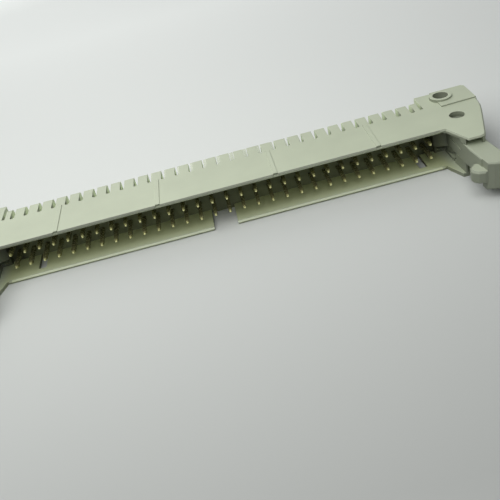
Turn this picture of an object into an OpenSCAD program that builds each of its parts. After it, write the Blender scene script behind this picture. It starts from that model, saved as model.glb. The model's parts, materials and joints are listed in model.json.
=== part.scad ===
// Box header for a flat cable connector: two rows of straight square contacts in a
// four-walled mouth, a comb of teeth behind them and a swinging latch at each end.
// Millimetres. X runs along the rows, the mouth opens towards -Y and face A is up.
// The origin lies half way between the two mounting holes, on the seat (face B).

/* [Contacts] */
// Columns of contacts along the header
columns = 30; // [24:1:32]
// Distance between neighbouring columns
pitch = 2.54; // [2.5:0.01:2.6]
// Distance between the two rows
row_gap = 2.54; // [2.5:0.01:2.6]
// Side of the square contact
pin_w = 0.64; // [0.6:0.02:0.66]
// Width of the flat that ends a contact's point
pin_flat = 0.28; // [0.2:0.02:0.4]
// Length of a contact's point
pin_point = 0.75; // [0.4:0.05:1.2]
// Length of the small taper that ends a tail
tail_point = 0.25; // [0.1:0.05:0.5]
// Distance from the edge of the mouth in to the contact tips
pin_inset = 0.71; // [0.5:0.01:1.5]
// Length of a tail behind the comb
tail_out = 3.65; // [2:0.05:5]
// Clearance on each side of a contact in the contact floor
pin_gap = 0.01; // [0.01:0.01:0.05]

/* [Housing] */
// Thickness of the housing from face A to face B
body_t = 7.64; // [7.4:0.02:8]
// Thickness of the two long walls of the mouth
wall_t = 0.65; // [0.55:0.05:0.8]
// Depth of the mouth from its edge to the contact floor
mouth_depth = 6.15; // [5.5:0.05:7]
// Thickness of the contact floor
floor_t = 2.8; // [2.4:0.1:3.2]
// Reach of the mouth's opening beyond the last contact
mouth_over = 2.37; // [2.2:0.01:2.5]
// Thickness of the wall between the mouth and a latch pocket
end_wall_t = 0.5; // [0.4:0.05:0.6]
// Distance from the edge of the mouth in to that wall
end_wall_in = 5.3; // [2:0.1:5.6]
// Bevel along the outer edges
edge_bevel = 0.22; // [0.1:0.02:0.26]
// Lead-in bevel inside the mouth
lead_in = 0.3; // [0.1:0.05:0.35]
// Width of the polarising notch in the face B wall
notch_w = 4.2; // [3.6:0.1:5]
// Width of a window in the face B wall
window_w = 1.4; // [1:0.1:1.6]
// Length of a window
window_len = 4.95; // [4:0.05:5.2]

/* [Comb] */
// Depth of a slot between two teeth
slot_depth = 4.4; // [3.8:0.1:5]
// Width of a slot
slot_w = 0.8; // [0.72:0.02:1]
// Rounding of a tooth's two corners in plan
tooth_round = 0.45; // [0.2:0.01:0.48]
// Slope along the top of the teeth at the back
back_bevel = 1.05; // [0.3:0.05:1.2]
// Distance from the last contact to the middle of the last groove
valley_over = 1.67; // [1.5:0.01:1.8]
// Width of the last groove
valley_w = 0.56; // [0.4:0.02:0.7]
// Height by which the band under the comb stands back from the seat
seat_step = 0.38; // [0.2:0.02:0.6]
// Distance from the comb's back plane to the edge of that step
step_in = 4.9; // [4.5:0.1:6]
// Teeth that carry a raised guide strip, counted from each end
rib_teeth = [4, 11];
// Width of a guide strip
rib_w = 0.75; // [0.5:0.05:1]
// Height of a guide strip above face A
rib_h = 0.13; // [0.05:0.01:0.2]

/* [Flanges and towers] */
// Reach of an end flange beyond the mounting hole
flange_over = 5.2; // [5:0.01:6]
// Reach of the flanges behind the comb's back plane
flange_back = 1.1; // [0.6:0.1:2]
// Distance from the last contact to the mounting hole and to the latch pivot
hole_over = 5.97; // [5.9:0.01:6.1]
// Diameter of a mounting hole
hole_d = 2.7; // [2.4:0.05:3]
// Distance from the comb's back plane in to the mounting holes
hole_in = 1.55; // [1.5:0.05:2.2]
// Distance across the flats of the nut recess under the flange
nut_af = 5.05; // [4.8:0.05:5.3]
// Depth of the nut recess
nut_deep = 1.35; // [1:0.05:1.6]
// Height of the pad on top of a flange
pad_h = 0.22; // [0.1:0.01:0.6]
// Outer diameter of the ring round a mounting hole
ring_d = 3.95; // [3.5:0.05:5]
// Height of the ring above face A
ring_h = 0.55; // [0.3:0.05:1]
// Diameter of the blind hole in the back of a flange
back_hole_d = 2.8; // [2.4:0.1:3]
// Length of a tower in front of the mouth's edge on face A
tower_len = 5.05; // [4:0.05:5.5]
// Length by which the tower's face B side is shorter
tower_short = 1.4; // [0.8:0.1:2]
// Distance from the edge of the mouth in to where the end's side runs straight
flank_in = 8.2; // [7.8:0.1:8.6]
// Height of the slot through which the latch reaches into the mouth
toe_slot_h = 3.2; // [3:0.1:3.6]
// Width of the guide ribs inside a tower
lip_w = 0.45; // [0.3:0.05:0.6]
// Thickness left at the front edge of the tower's face A wall
brow_t = 0.32; // [0.2:0.02:0.4]
// Height of the fence on the tower's face B wall
fence_h = 1.95; // [0.6:0.05:1.95]
// Distance by which the fence leans outwards from back to front
fence_lean = 0.52; // [0.4:0.02:0.6]

/* [Latches] */
// Thickness of a latch at its pivot and thumb pad
latch_t = 4.96; // [4.6:0.02:5]
// Height by which the arm's face B side stands back from the thumb pad
arm_low = 1.7; // [1.4:0.05:1.8]
// Clearance between a latch and the tower's lips on each side
latch_gap = 0.1; // [0.08:0.01:0.2]
// Distance from the comb's back plane in to the latch pivots
pivot_in = 9.34; // [9:0.02:9.6]
// Diameter of a pivot hole
pivot_d = 2.6; // [2.4:0.05:2.8]
// Running clearance of a pivot stud, on the radius
pivot_fit = 0.07; // [0.03:0.01:0.1]
// Depth of a pivot stud's end below the face
pivot_low = 0.9; // [0.7:0.05:1]
// Distance from the pivot to the front of the thumb pad
latch_len = 16.4; // [15.5:0.05:17]
// Distance from the pivot to the back of the thumb pad
pad_from = 13; // [12.5:0.1:13.4]
// Distance from the pivot to the middle of the hook
hook_at = 13.95; // [13.5:0.05:14.2]
// Reach of the hook inwards from the pivot
hook_reach = 3.35; // [3:0.05:3.6]
// Thickness of the hook
hook_t = 2.2; // [1.8:0.1:2.6]
// Bevel round the hook
hook_bevel = 0.3; // [0.1:0.05:0.5]
// Distance from the pivot to the arm's inner face at the front of the tower
arm_in = 2.05; // [1.9:0.05:2.1]
// Distance from the pivot to the arm's outer face at the front of the tower
arm_out = 1.5; // [1.4:0.05:1.7]
// Distance by which the arm leans outwards between the tower and the thumb pad
arm_lean = 0.45; // [0.3:0.05:0.5]
// Height above the middle of the fine groove along the arm's inner face
groove_up = 0.85; // [0.6:0.05:1]
// Length of that groove
groove_len = 4.55; // [3:0.05:5]
// Radius of the boss round the pivot
boss_r = 2.2; // [2.1:0.05:2.3]
// Reach of the thumb pad outwards from the pivot
thumb_reach = 3.54; // [3:0.02:4]
// Thickness of the toe that pushes the mating connector out
toe_t = 2.5; // [2:0.1:2.7]

/* [Hidden] */
$fn = 48;
eps = 0.1;
row_half = (columns - 1) * pitch / 2;
half_t = body_t / 2;
floor_y = -(slot_depth + floor_t);
mouth_y = floor_y - mouth_depth;
mouth_x = row_half + mouth_over;
cavity_x = mouth_x - 0.3;
inner_z = half_t - wall_t;
hole_x = row_half + hole_over;
end_x = hole_x + flange_over;
tower_y = mouth_y - tower_len;
slot_floor_z = -(row_gap + pin_w) / 2 - 0.03;
pocket_x = cavity_x + end_wall_t;
pocket_z = latch_t / 2 + latch_gap;
arm_x = hole_x - arm_in;
valley_x = row_half + valley_over;
flange_x = valley_x + valley_w / 2 - 0.05;
shell_colour = [0.64, 0.68, 0.6];
gold_colour = [0.8, 0.66, 0.3];

function two(n) = str(n < 10 ? "0" : "", n);
function col_x(i) = (i - 1) * pitch - row_half;
function tooth_x(i) = col_x(i) + pitch / 2;
// Corner points of one end in plan, from the mouth round to the comb
flare_a = [mouth_x, mouth_y];
flare_b = [mouth_x + 1.79, tower_y + 0.5];
front_a = [mouth_x + 1.95, tower_y];
front_b = [mouth_x + 4.1, tower_y];
front_c = [mouth_x + 4.8, tower_y + 0.25];
side_a = [mouth_x + 5.2, tower_y + 1.05];
side_b = [end_x - 0.85, mouth_y + 3.9];
side_c = [end_x - 0.25, mouth_y + flank_in - 2.15];
side_d = [end_x, mouth_y + flank_in];
rim = [flare_a, flare_b, front_a, front_b, front_c, side_a, side_b, side_c, side_d];
end_points = concat(rim, [[end_x, flange_back - 0.5], [end_x - 0.5, flange_back], [flange_x, flange_back],
  [flange_x, 0]]);

// Points of an arc round c from angle a to angle b
function arc(c, r, a, b, n) = [for (i = [0:n]) c + r * [cos(a + (b - a) * i / n), sin(a + (b - a) * i / n)]];

// Puts a piece drawn about the comb's back plane and the mid-thickness into the part's frame
module placed() {
  translate([0, hole_in, half_t]) children();
}

module both_ends() {
  children();
  mirror([1, 0, 0]) children();
}

// A prism along X from x0 to x1 with its section drawn in Y and Z
module bar(x0, x1, section) {
  translate([x0, 0, 0]) rotate([90, 0, 90]) linear_extrude(x1 - x0) polygon(section);
}

// A plate between two heights with its outline drawn in plan
module plate(z0, z1, outline) {
  translate([0, 0, z0]) linear_extrude(z1 - z0) polygon(outline);
}

module block(a, b) {
  translate(a) cube(b - a);
}

// Takes the bevel c off an edge at height z from a to b, with the solid on its left
module bevel(a, b, z, c) {
  s = z > 0 ? 1 : -1;
  d = b - a;
  translate([a[0], a[1], z]) rotate([0, 0, atan2(d[1], d[0])])
    bar(-c / 4, norm(d) + c / 4, [[-eps, -s * (c + eps)], [c + eps, s * eps], [-eps, s * eps]]);
}

// Bevels every edge along a row of points
module bevels(points, z, c) {
  for (i = [1:len(points) - 1])
    bevel(points[i - 1], points[i], z, c);
}

// Solid shape of the housing

module shell() {
  left = [for (p = end_points) [-p[0], p[1]]];
  back = [for (i = [len(left) - 1:-1:0]) left[i]];
  plate(-half_t, half_t, concat(end_points, back));
}

module flange_top() {
  pad_front = mouth_y + 8.45;
  pad_x = hole_x - 1.1;
  plate(half_t - eps, half_t + pad_h, [[pad_x, pad_front - 0.2], [end_x, pad_front + 0.05],
    [end_x, flange_back - 0.5], [end_x - 0.5, flange_back], [pad_x, flange_back]]);
  translate([hole_x, -hole_in, half_t - eps]) cylinder(d = ring_d, h = ring_h + eps);
}

module guide_strip(x) {
  block([x - rib_w / 2, mouth_y + edge_bevel, half_t - eps], [x + rib_w / 2, -4.2, half_t + rib_h]);
}

// Hollows of the housing

module mouth() {
  z = inner_z;
  block([-cavity_x, mouth_y - eps, -z], [cavity_x, floor_y, z]);
  for (s = [-1, 1])
    bar(-cavity_x, cavity_x, [[mouth_y - eps, s * (z + lead_in + eps)], [mouth_y + lead_in + eps, s * (z - eps)],
      [mouth_y - eps, s * (z - eps)]]);
}

module contact_holes() {
  w = pin_w + 2 * pin_gap;
  for (i = [1:columns], s = [-1, 1])
    translate([col_x(i), 0, s * row_gap / 2])
      block([-w / 2, floor_y - eps, -w / 2], [w / 2, -slot_depth + eps, w / 2]);
}

// One slot of the comb with a round bottom, open to face A and to the back
module comb_slot(x) {
  r = tooth_round;
  w = slot_w / 2;
  plate(slot_floor_z, half_t + eps, concat(arc([x, w - slot_depth], w, 180, 360, 6),
    arc([x + w + r, -r], r, 180, 90, 4), [[x + w + r, eps], [x - w - r, eps]], arc([x - w - r, -r], r, 90, 0, 4)));
}

// The last groove, between the comb and the flange
module valley() {
  r = tooth_round;
  x = valley_x - valley_w / 2;
  plate(slot_floor_z, half_t + eps, concat([[x, -4], [valley_x + valley_w / 2, -4], [valley_x + valley_w / 2, 0],
    [flange_x, eps], [x - r, eps]], arc([x - r, -r], r, 90, 0, 4)));
}

// Slopes the top of the comb's back edge
module comb_back() {
  b = back_bevel;
  bar(-flange_x, flange_x, [[-b, half_t], [-b / 3, half_t - b * 0.4], [0, half_t - b], [eps, half_t - b],
    [eps, half_t + eps], [-b, half_t + eps]]);
}

module seat_recess() {
  a = mouth_x - 2.46;
  b = mouth_x - 1.42;
  plate(-half_t - eps, -half_t + seat_step, [[-a, -step_in], [a, -step_in], [b, -step_in + b - a], [b, eps],
    [-b, eps], [-b, -step_in + b - a]]);
}

module polarising_notch() {
  block([-notch_w / 2, mouth_y - eps, -half_t - eps], [notch_w / 2, floor_y, -inner_z + eps]);
}

module window(x) {
  y = mouth_y + 1.55;
  block([x - window_w / 2, y, -half_t - eps], [x + window_w / 2, y + window_len, -inner_z + eps]);
}

// Small nicks that end a guide strip at the mouth and mark the same tooth at the back
module strip_nicks(x) {
  w = rib_w + 0.1;
  block([x - w / 2, mouth_y - eps, half_t - 0.3], [x + w / 2, mouth_y + 0.3, half_t + eps]);
  block([x - 0.2, -0.12, -half_t], [x + 0.2, eps, slot_floor_z - 0.4]);
  block([x - 0.45, -0.35, -half_t - eps], [x + 0.45, eps, -half_t + seat_step + 0.25]);
}

// The pocket in which a latch swings, with guide ribs under the face A wall and a fence on the other
module latch_pocket() {
  back_y = -pivot_in + 3.04;
  far = end_x + 1;
  low = tower_y - 1;
  rib = front_a[0] - 0.65;
  fence = front_a[0] - 0.4;
  fence_w = lip_w * 0.7;
  plate(-pocket_z, pocket_z, [[pocket_x, back_y], [end_x - 2.2, back_y], [far, back_y - 1.9], [far, mouth_y],
    [pocket_x, mouth_y]]);
  difference() {
    plate(-inner_z, inner_z, [[pocket_x, mouth_y + 1.05], [pocket_x, mouth_y], [mouth_x - 0.6, mouth_y],
      [mouth_x - 0.6, low], [far, low], [far, mouth_y + 1.05]]);
    block([rib, low, pocket_z], [rib + lip_w, mouth_y, half_t]);
    block([front_c[0] - 0.45, low, pocket_z], [front_c[0], mouth_y - 2, half_t]);
    plate(-half_t, -inner_z + fence_h, [[fence, mouth_y + 0.5], [fence + fence_lean, low],
      [fence + fence_lean + fence_w, low], [fence + fence_w, mouth_y + 0.5]]);
  }
  block([rib + lip_w, low, inner_z - eps], [front_b[0] + 0.25, tower_y + 1.4, half_t - brow_t]);
  block([cavity_x - eps, mouth_y - eps, -toe_slot_h / 2], [pocket_x + eps, floor_y, toe_slot_h / 2]);
  block([cavity_x - eps, mouth_y - eps, -inner_z], [arm_x, mouth_y + end_wall_in, inner_z]);
  block([mouth_x - 0.6, low, -half_t - eps], [far, tower_y + tower_short, 0]);
  translate([hole_x, -pivot_in, -half_t - eps]) cylinder(d = pivot_d, h = body_t + 2 * eps);
}

module mounting() {
  translate([hole_x, -hole_in, -half_t - eps]) cylinder(d = hole_d, h = body_t + ring_h + 2 * eps);
  r = nut_af / 2;
  point = r / cos(30);
  c = -hole_in;
  translate([hole_x, 0, 0]) plate(-half_t - eps, -half_t + nut_deep, [[-r, c - point / 2], [0, c - point],
    [r, c - point / 2], [r, flange_back + eps], [-r, flange_back + eps]]);
  x = end_x - 2.35;
  z = -0.65;
  translate([x, flange_back + eps, z]) rotate([90, 0, 0]) cylinder(d = back_hole_d, h = 2.2 + eps);
  translate([x, flange_back + 0.01, z]) rotate([90, 0, 0])
    cylinder(r1 = back_hole_d / 2 + 0.25, r2 = back_hole_d / 2, h = 0.26);
  block([end_x - 2.7, 0.15, -half_t - eps], [end_x + eps, flange_back + eps, -half_t + 0.92]);
}

module outer_bevels() {
  c = edge_bevel;
  for (z = [-half_t, half_t])
    bevel([-mouth_x, mouth_y], [mouth_x, mouth_y], z, c);
  both_ends() {
    bevels(rim, half_t, c);
  }
  comb_back();
}

// Shallow marks of the mould on face B
module face_b_marks() {
  both_ends() translate([row_half + 1.87, mouth_y + 5.75, -half_t - eps])
    cylinder(d = 2.9, h = eps + 0.04);
  plate(-half_t - eps, -half_t + 0.1, [[-row_half - 0.9, mouth_y + 1.75], [-row_half + 0.7, mouth_y + 1.75],
    [-row_half - 0.1, mouth_y + 0.45]]);
}

module housing() {
  color(shell_colour) placed() difference() {
    union() {
      shell();
      both_ends() flange_top();
      for (i = rib_teeth, s = [-1, 1])
        guide_strip(s * tooth_x(i));
    }
    mouth();
    contact_holes();
    for (i = [1:columns])
      comb_slot(col_x(i));
    both_ends() {
      valley();
      latch_pocket();
      mounting();
    }
    seat_recess();
    polarising_notch();
    window(tooth_x(2));
    window(tooth_x(columns - 1));
    for (i = rib_teeth, s = [-1, 1])
      strip_nicks(s * tooth_x(i));
    outer_bevels();
    face_b_marks();
  }
}

// One latch, drawn for the right-hand end

module latch() {
  front = -latch_len;
  h = -hook_at;
  z = latch_t / 2;
  tower = pivot_in + tower_y;
  inner = [[-arm_in - 0.25, 0], [-arm_in, tower], [arm_lean - arm_in, -pad_from - 0.7]];
  outer = [[arm_out + arm_lean, 0.35 - pad_from], [arm_out, tower], [arm_out + 0.3, 0]];
  pad = [[-1.45, -pad_from - 0.7], [-1.3, front + 1.05], [-0.4, front + 0.6], [1.4, front], [2.9, front + 0.15],
    [thumb_reach, front + 1.1], [thumb_reach, front + 2.5], [arm_out + arm_lean, 0.35 - pad_from], [0, -pad_from]];
  hook = [[-arm_in + 0.2, h + 1.5], [-2.5, h + 1.45], [-hook_reach + 0.25, h + 1.1], [-hook_reach, h],
    [-hook_reach + 0.1, h - 0.5], [-2.6, h - 1.2], [-1.7, h - 1.45], [-0.7, h - 1.45]];
  toe = [[-1, 1.44], [-4.2, 1.44], [-4.45, 1.2], [-4.45, 0.14], [-1, -1.1]];
  stud_z = half_t - pivot_low;
  translate([hole_x, -pivot_in, 0]) difference() {
    union() {
      plate(arm_low - z, z, concat(inner, [[-1, -pad_from - 1], [1, -pad_from - 1]], outer));
      plate(-z, z, pad);
      translate([0, 0, -z]) cylinder(r = boss_r, h = latch_t);
      translate([0, 0, -stud_z]) cylinder(r = pivot_d / 2 - pivot_fit, h = 2 * stud_z);
      plate(-toe_t / 2, toe_t / 2, toe);
      difference() {
        plate(-hook_t / 2, hook_t / 2, hook);
        for (side = [-hook_t / 2, hook_t / 2])
          bevels([for (i = [1:6]) hook[i]], side, hook_bevel);
      }
    }
    bevels([inner[1], inner[2]], z, 0.15);
    bevels([for (i = [1:6]) pad[i]], z, 0.2);
    bevels([for (i = [1:6]) pad[i]], -z, 0.4);
    bevel(pad[7], pad[8], -z, 0.6);
    block([-arm_in - 0.5, -boss_r - groove_len, groove_up], [-arm_in + 0.15, -boss_r, groove_up + 0.3]);
  }
}

module latch_right() {
  color(shell_colour) placed() latch();
}

module latch_left() {
  color(shell_colour) placed() mirror([1, 0, 0]) latch();
}

// One straight contact, pointed at the mouth and slightly tapered at the tail

module contact(x, z) {
  w = pin_w / 2;
  f = pin_flat / 2;
  tip = mouth_y + pin_inset;
  section = [[tip, -f], [tip + pin_point, -w], [tail_out - tail_point, -w], [tail_out, -w * 0.75],
    [tail_out, w * 0.75], [tail_out - tail_point, w], [tip + pin_point, w], [tip, f]];
  translate([x, 0, z]) intersection() {
    bar(-w, w, section);
    translate([0, 0, -w]) linear_extrude(2 * w) polygon([for (p = section) [p[1], p[0]]]);
  }
}

module contacts(i) {
  color(gold_colour) placed() {
    contact(col_x(i), row_gap / 2);
    contact(col_x(i), -row_gap / 2);
  }
}

housing();
latch_left();
latch_right();
for (i = [1:columns]) contacts(i);
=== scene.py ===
import bpy, bmesh, json
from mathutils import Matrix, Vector


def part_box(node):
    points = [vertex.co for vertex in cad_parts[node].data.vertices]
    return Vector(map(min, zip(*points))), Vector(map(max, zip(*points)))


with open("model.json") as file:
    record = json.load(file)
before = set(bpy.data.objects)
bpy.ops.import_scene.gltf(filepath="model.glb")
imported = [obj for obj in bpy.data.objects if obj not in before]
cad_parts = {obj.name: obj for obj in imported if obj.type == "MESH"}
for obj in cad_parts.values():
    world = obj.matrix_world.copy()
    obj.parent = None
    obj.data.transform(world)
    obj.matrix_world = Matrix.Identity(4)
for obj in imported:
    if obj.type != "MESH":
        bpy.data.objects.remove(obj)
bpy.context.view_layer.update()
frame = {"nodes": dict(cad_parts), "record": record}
nodes = frame["nodes"]


# Moulded plastic.
# The housing and the latches are injection moulded: fine spark-eroded grain, faint clouds where the melt
# flowed, and edges with a small radius. The light falls from above, so this shared group also paints shade
# and light: it darkens standing faces, the mouth's inside, its rim and end corners, and the ends of the
# comb's slots, and paints light on parts of the rim, on the sides of the teeth and on rounded edges.
def feed(tree, source, socket):
    """Link the socket to another node's output, or set it to a plain value."""
    if isinstance(source, bpy.types.NodeSocket):
        tree.links.new(source, socket)
    else:
        socket.default_value = source


def compute(tree, operation, first, second=0, clamp=False):
    """Work out a value from one or two others."""
    node = tree.nodes.new("ShaderNodeMath")
    node.operation = operation
    node.use_clamp = clamp
    feed(tree, first, node.inputs[0])
    feed(tree, second, node.inputs[1])
    return node.outputs[0]


def chain(tree, operation, first, *others):
    """Join any number of values by one operation."""
    joined = first
    for other in others:
        joined = compute(tree, operation, joined, other)
    return joined


def combine(tree, operation, first, second=(0, 0, 0)):
    """Work on two vectors or colours, or scale the first one by a factor."""
    node = tree.nodes.new("ShaderNodeVectorMath")
    node.operation = operation
    feed(tree, first, node.inputs[0])
    feed(tree, second, node.inputs["Scale" if operation == "SCALE" else 1])
    return node.outputs["Value" if operation in ("LENGTH", "DOT_PRODUCT") else "Vector"]


def ramp(tree, value, low=0, high=1, start=0, end=1):
    """Go evenly from start, where the value is low, to end, where it is high."""
    node = tree.nodes.new("ShaderNodeMapRange")
    sources = {"Value": value, "From Min": low, "From Max": high, "To Min": start, "To Max": end}
    for name, source in sources.items():
        feed(tree, source, node.inputs[name])
    return node.outputs["Result"]


def blend(tree, factor, first, second, kind="FLOAT"):
    """Give the first value or colour where the factor is 0, and the second where it is 1."""
    node = tree.nodes.new("ShaderNodeMix")
    node.data_type = kind
    for name, source in {"Factor": factor, "A": first, "B": second}.items():
        feed(tree, source, node.inputs[name])
    return node.outputs["Result"]


def noise(tree, vector, scale, detail):
    """Give a procedural pattern with scale cells in a metre."""
    node = tree.nodes.new("ShaderNodeTexNoise")
    node.inputs["Scale"].default_value = scale
    node.inputs["Detail"].default_value = detail
    tree.links.new(vector, node.inputs["Vector"])
    return node.outputs[0]


def split(tree, vector):
    """Give the x, y and z of a vector."""
    node = tree.nodes.new("ShaderNodeSeparateXYZ")
    tree.links.new(vector, node.inputs[0])
    return node.outputs


# Places on the header where its tones change, from its end, from the mouth's edge and from the seat.
# mouth_end is just short of the opening's end, floor_front and floor_back are just inside the contact
# floor's two faces, and wall_inside is at the inner face of the upper wall.
mm = 0.001
mounts = {mount["name"]: mount for mount in frame["record"]["mounts"]}
tower_x = mounts["mounting_holes"]["dims"]["spacing_x_mm"] / 2 * mm
mouth_end = tower_x - 0.0043
mouth_edge = mounts["mouth"]["pos_m"][1]
floor_front = mouth_edge + 0.0068
floor_back = mouth_edge + 0.0083
mid_height = mounts["mouth"]["pos_m"][2]
face_a = 2 * mid_height
wall_inside = face_a - 0.00064

# The group takes a tone, the depth of the grain, the radius of the edges, the light that is left deep in
# the mouth and the light that standing faces keep.
skin_and_shade = bpy.data.node_groups.new("moulded_skin_and_painted_shade", "ShaderNodeTree")
skin_and_shade.interface.new_socket("Tone", in_out="INPUT", socket_type="NodeSocketColor")
for name in ("Grain", "Edge", "Deep", "Sides"):
    skin_and_shade.interface.new_socket(name, in_out="INPUT", socket_type="NodeSocketFloat")
skin_and_shade.interface.new_socket("Color", in_out="OUTPUT", socket_type="NodeSocketColor")
skin_and_shade.interface.new_socket("Roughness", in_out="OUTPUT", socket_type="NodeSocketFloat")
skin_and_shade.interface.new_socket("Normal", in_out="OUTPUT", socket_type="NodeSocketVector")
given = skin_and_shade.nodes.new("NodeGroupInput").outputs
result = skin_and_shade.nodes.new("NodeGroupOutput").inputs
spot = skin_and_shade.nodes.new("ShaderNodeTexCoord").outputs
x, y, z = split(skin_and_shade, spot["Object"])
up = split(skin_and_shade, spot["Normal"])[2]
from_middle = compute(skin_and_shade, "ABSOLUTE", x)

# Masks: outside is all that lies behind the mouth or on top, clear is that or any face in open air.
upward = ramp(skin_and_shade, up, low=0.5, high=0.9)
beside = ramp(skin_and_shade, from_middle, low=mouth_end, high=mouth_end + 0.002)
behind = ramp(skin_and_shade, y, low=floor_front, high=floor_back)
above = ramp(skin_and_shade, z, low=wall_inside, high=wall_inside + 0.0002)
outside = chain(skin_and_shade, "MAXIMUM", behind, above)
hollow = skin_and_shade.nodes.new("ShaderNodeAmbientOcclusion")
hollow.samples = 8
hollow.inputs["Distance"].default_value = 0.009
open_air = ramp(skin_and_shade, hollow.outputs["AO"], low=0.1, high=0.75)
clear = chain(skin_and_shade, "MAXIMUM", outside, open_air)

# Painted shade: the mouth is painted darker inwards, apart from faces that look up, and this painted shade
# is yellowish.
inward = ramp(skin_and_shade, y, low=mouth_edge + 0.0002, high=mouth_edge + 0.0033, start=1, end=given["Deep"])
depth = blend(skin_and_shade, chain(skin_and_shade, "MAXIMUM", clear, upward), inward, 1)
yellowish = (0.98, 0.98, 0.68, 1)
untinted = (1, 1, 1, 1)
shade_tint = blend(skin_and_shade, chain(skin_and_shade, "MAXIMUM", clear, beside), yellowish, untinted, kind="RGBA")
shade_tinted = combine(skin_and_shade, "MULTIPLY", given["Tone"], shade_tint)

# Painted shade: the corners at the two ends of the mouth get the least light, so they are painted darkest.
corner_x = ramp(skin_and_shade, from_middle, low=mouth_end - 0.003, high=mouth_end - 0.0015)
corner_y = ramp(skin_and_shade, y, low=mouth_edge + 0.0023, high=mouth_edge + 0.0043)
corner = chain(skin_and_shade, "MULTIPLY", corner_x, corner_y)
kept = chain(skin_and_shade, "MAXIMUM", outside, upward, beside)
gloom = ramp(skin_and_shade, compute(skin_and_shade, "SUBTRACT", corner, kept, clamp=True), start=1, end=0.35)

# Painted shade and light: standing faces are painted darker than level ones. In the comb the slots' ends are
# painted darkest, and the sides of the teeth are painted palest towards their tips.
comb = ramp(skin_and_shade, y, low=floor_back, high=floor_back + 0.0003)
tooth = ramp(skin_and_shade, y, low=floor_back + 0.0009, high=floor_back + 0.0033)
comb_only = compute(skin_and_shade, "SUBTRACT", comb, beside, clamp=True)
tooth_only = compute(skin_and_shade, "SUBTRACT", tooth, beside, clamp=True)
slot_light = ramp(skin_and_shade, comb_only, start=given["Sides"], end=0.3)
tip_light = 1.55
standing = blend(skin_and_shade, tooth_only, slot_light, tip_light)
standing_shade = ramp(skin_and_shade, compute(skin_and_shade, "ABSOLUTE", up), low=0.6, high=0.9, start=standing, end=1)

# Painted light and shade on the front rim of the mouth: the upper wall's rim is painted pale where it turns
# into the mouth and dark where it turns up to face A and towards the left end. The lower wall's rim is
# painted pale.
behind_rim = ramp(skin_and_shade, y, low=mouth_edge + 0.00023, high=mouth_edge + 0.00025)
past_rim = ramp(skin_and_shade, from_middle, low=mouth_end - 0.0002, high=mouth_end)
across = ramp(skin_and_shade, x, low=-0.04, high=0.02, start=0.65, end=1.1)
upper_rim = chain(skin_and_shade, "MULTIPLY", ramp(skin_and_shade, up, low=-0.7, high=0.7, start=2.15, end=0.6), across)
lower_rim = ramp(skin_and_shade, up, low=-0.8, high=-0.3, start=1, end=1.7)
lower_half = ramp(skin_and_shade, z, low=mid_height, high=mid_height + 0.001, start=1, end=0)
rim = blend(skin_and_shade, lower_half, upper_rim, lower_rim)
rim_light_and_shade = blend(skin_and_shade, chain(skin_and_shade, "MAXIMUM", behind_rim, past_rim), rim, 1)

# Rounded edges catch more light than the faces that they join, and they are also painted paler there: a
# painted highlight.
rounded = skin_and_shade.nodes.new("ShaderNodeBevel")
rounded.samples = 4
skin_and_shade.links.new(given["Edge"], rounded.inputs["Radius"])
face_normal = skin_and_shade.nodes.new("ShaderNodeNewGeometry").outputs["Normal"]
turned = combine(skin_and_shade, "DOT_PRODUCT", rounded.outputs["Normal"], face_normal)
edge_light = ramp(skin_and_shade, turned, low=0.7, high=0.99, start=1.4, end=1)

# Clouds of the melt, the grain of the mould, and what the group puts out.
flow = noise(skin_and_shade, spot["Object"], scale=160, detail=3)
clouds = ramp(skin_and_shade, flow, low=0.3, high=0.7, start=0.965, end=1.03)
grain = noise(skin_and_shade, spot["Object"], scale=9000, detail=4)
bump = skin_and_shade.nodes.new("ShaderNodeBump")
bump.inputs["Distance"].default_value = 0.00001
skin_and_shade.links.new(given["Grain"], bump.inputs["Strength"])
skin_and_shade.links.new(grain, bump.inputs["Height"])
skin_and_shade.links.new(rounded.outputs["Normal"], bump.inputs["Normal"])
light = chain(skin_and_shade, "MULTIPLY", clouds, depth, gloom, standing_shade, rim_light_and_shade, edge_light)
skin_and_shade.links.new(combine(skin_and_shade, "SCALE", shade_tinted, light), result["Color"])
skin_and_shade.links.new(ramp(skin_and_shade, grain, start=0.44, end=0.6), result["Roughness"])
skin_and_shade.links.new(bump.outputs["Normal"], result["Normal"])


# Housing.
# One injection moulding of pale grey-green glass-filled polyester, matt from the mould. It holds the
# contacts in the floor of its mouth and a latch in the tower at each end.
def moulded(name, tone, grain, edge, deep, sides):
    """Make a plastic that takes its colour, roughness and normal from the shared group."""
    plastic = bpy.data.materials.new(name)
    plastic.use_nodes = True
    face = plastic.node_tree.nodes.new("ShaderNodeGroup")
    face.name = "skin_and_shade"
    face.node_tree = skin_and_shade
    for socket, value in {"Tone": tone, "Grain": grain, "Edge": edge, "Deep": deep, "Sides": sides}.items():
        face.inputs[socket].default_value = value
    shader = plastic.node_tree.nodes["Principled BSDF"]
    shader.inputs["Specular IOR Level"].default_value = 0.4
    for output, socket in {"Color": "Base Color", "Roughness": "Roughness", "Normal": "Normal"}.items():
        plastic.node_tree.links.new(face.outputs[output], shader.inputs[socket])
    return plastic


def dress(name, material):
    """Give a CAD node its material."""
    nodes[name].data.materials.clear()
    nodes[name].data.materials.append(material)


housing_tone = (0.585, 0.64, 0.48, 1)
housing_plastic = moulded("housing_plastic", housing_tone, grain=0.35, edge=0.00012, deep=0.55, sides=0.55)
dress("housing", housing_plastic)

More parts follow.
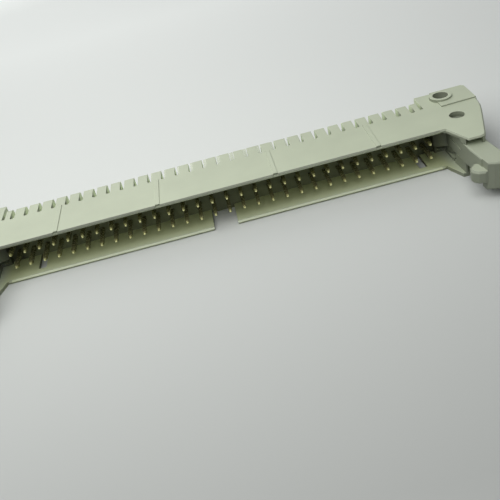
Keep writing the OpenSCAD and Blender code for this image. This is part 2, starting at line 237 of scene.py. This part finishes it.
# Latches.
# Two mouldings of the same plastic, a little smoother where fingers press them. They snap into the towers
# with a stud on each side, and the ends of the upper studs, which lie in the shade of their bores, are
# painted darker: painted shade.
latch_tone = (0.475, 0.52, 0.395, 1)
latch_plastic = moulded("latch_plastic", latch_tone, grain=0.25, edge=0.0002, deep=0.25, sides=0.7)
tree = latch_plastic.node_tree
height = split(tree, tree.nodes.new("ShaderNodeTexCoord").outputs["Object"])[2]
stud_shade = ramp(tree, height, low=face_a - 0.00114, high=face_a - 0.00104, start=1, end=0.55)
shaded = combine(tree, "SCALE", tree.nodes["skin_and_shade"].outputs["Color"], stud_shade)
tree.links.new(shaded, tree.nodes["Principled BSDF"].inputs["Base Color"])
for name in ("latch_left", "latch_right"):
    dress(name, latch_plastic)

# Contacts.
# Square phosphor bronze wire with pointed ends, gold plated in the mouth and tinned at the tail end. Each is
# pressed through the contact floor. In the mouth the shafts behind the tips are painted darker, as painted
# shade, so only the tips keep full light.
contact_plating = bpy.data.materials.new("contact_plating")
contact_plating.use_nodes = True
tree = contact_plating.node_tree
shader = tree.nodes["Principled BSDF"]
wire = tree.nodes.new("ShaderNodeTexCoord").outputs["Object"]
along = split(tree, wire)[1]
gold = (0.95, 0.93, 0.45, 1)
tin = (0.6, 0.65, 0.5, 1)
tinned = ramp(tree, along, low=floor_back, high=floor_back + 0.001)
plating = blend(tree, tinned, gold, tin, kind="RGBA")
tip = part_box("contacts_01")[0][1]
inner = ramp(tree, along, low=tip + 0.0002, high=tip + 0.00045, start=1, end=0.3)
past_mouth = ramp(tree, along, low=floor_front, high=floor_back)
shade = blend(tree, past_mouth, inner, 1)
drawn = noise(tree, wire, scale=3000, detail=2)
tree.links.new(combine(tree, "SCALE", plating, shade), shader.inputs["Base Color"])
tree.links.new(ramp(tree, tinned, start=0.55, end=0.1), shader.inputs["Metallic"])
tree.links.new(ramp(tree, drawn, start=0.16, end=0.36), shader.inputs["Roughness"])
for name in nodes:
    if name.startswith("contacts_"):
        dress(name, contact_plating)


# Table.
# A sheet of pale matt paper, wide enough to fill the picture. It has painted shade, darker towards the
# viewer, and a painted glow that only the camera and glosses see, stronger with distance. That painted glow
# lights nothing.
def seen(tree):
    """Give 1 to rays from the camera or off a glossy face, and 0 to all others."""
    rays = tree.nodes.new("ShaderNodeLightPath").outputs
    return chain(tree, "MAXIMUM", rays["Is Camera Ray"], rays["Is Glossy Ray"])


half_width = 1.5
gap = 0.00002
sheet = bmesh.new()
bmesh.ops.create_grid(sheet, x_segments=1, y_segments=1, size=half_width)
bmesh.ops.translate(sheet, verts=sheet.verts, vec=(0, 0, -gap))
mesh = bpy.data.meshes.new("table")
sheet.to_mesh(mesh)
sheet.free()
table = bpy.data.objects.new("table", mesh)
bpy.context.collection.objects.link(table)
table_paper = bpy.data.materials.new("table_paper")
table_paper.use_nodes = True
tree = table_paper.node_tree
shader = tree.nodes["Principled BSDF"]
spot = tree.nodes.new("ShaderNodeTexCoord").outputs["Object"]
backwards = split(tree, spot)[1]
shown = seen(tree)
paper = (0.9, 0.93, 0.905)
bounced = 0.3
pale = ramp(tree, backwards, low=-0.07, high=0.015, start=0.55, end=1)
paper_light = blend(tree, shown, bounced, pale)
glow_tone = (0.97, 1, 0.98)
glow_behind = ramp(tree, backwards, high=0.132, end=0.29)
glow_around = ramp(tree, combine(tree, "LENGTH", spot), low=0.09, high=0.3, end=0.5)
painted_glow = compute(tree, "MULTIPLY", chain(tree, "MAXIMUM", glow_behind, glow_around), shown)
tree.links.new(combine(tree, "SCALE", paper, paper_light), shader.inputs["Base Color"])
tree.links.new(combine(tree, "SCALE", glow_tone, painted_glow), shader.inputs["Emission Color"])
shader.inputs["Emission Strength"].default_value = 1
shader.inputs["Roughness"].default_value = 0.75
shader.inputs["Specular IOR Level"].default_value = 0.2
mesh.materials.append(table_paper)

# Light.
# A soft box close above the mouth, a larger and fainter window behind and to the left, and a room that is
# dim but looks pale to the camera and in a gloss.
world = bpy.data.worlds.new("room")
world.use_nodes = True
tree = world.node_tree
walls = tree.nodes["Background"]
walls.inputs["Color"].default_value = (0.9, 0.95, 1, 1)
tree.links.new(ramp(tree, seen(tree), start=0.05, end=0.7), walls.inputs["Strength"])
bpy.context.scene.world = world
aim = Vector((-0.01, 0, 0))
for name, place, width, watts in (
    ("window", (-0.12, 0.26, 0.22), 0.3, 0.35),
    ("soft_box", (-0.031, -0.05, 0.125), 0.2, 0.209),
):
    lamp = bpy.data.lights.new(name, "AREA")
    lamp.shape = "SQUARE"
    lamp.size = width
    lamp.energy = watts
    lamp.color = (1, 1, 0.985)
    panel = bpy.data.objects.new(name, lamp)
    panel.location = place
    panel.rotation_euler = (aim - panel.location).to_track_quat("-Z", "Y").to_euler()
    bpy.context.collection.objects.link(panel)

# Camera.
# In front of the mouth and above it, where the photograph was taken from. Its place, turn and lens were
# fitted to the contact tips, comb slots and wall edges in the picture.
camera = bpy.data.cameras.new("camera")
camera.sensor_width = 36
camera.lens = 49.307
camera.clip_start = 0.005
eye = bpy.data.objects.new("camera", camera)
eye.location = (0.004255, -0.112189, 0.062521)
eye.rotation_euler = (0.95689, 0.21893, -0.13704)
bpy.context.collection.objects.link(eye)
bpy.context.scene.camera = eye
bpy.context.scene.view_settings.view_transform = "Standard"
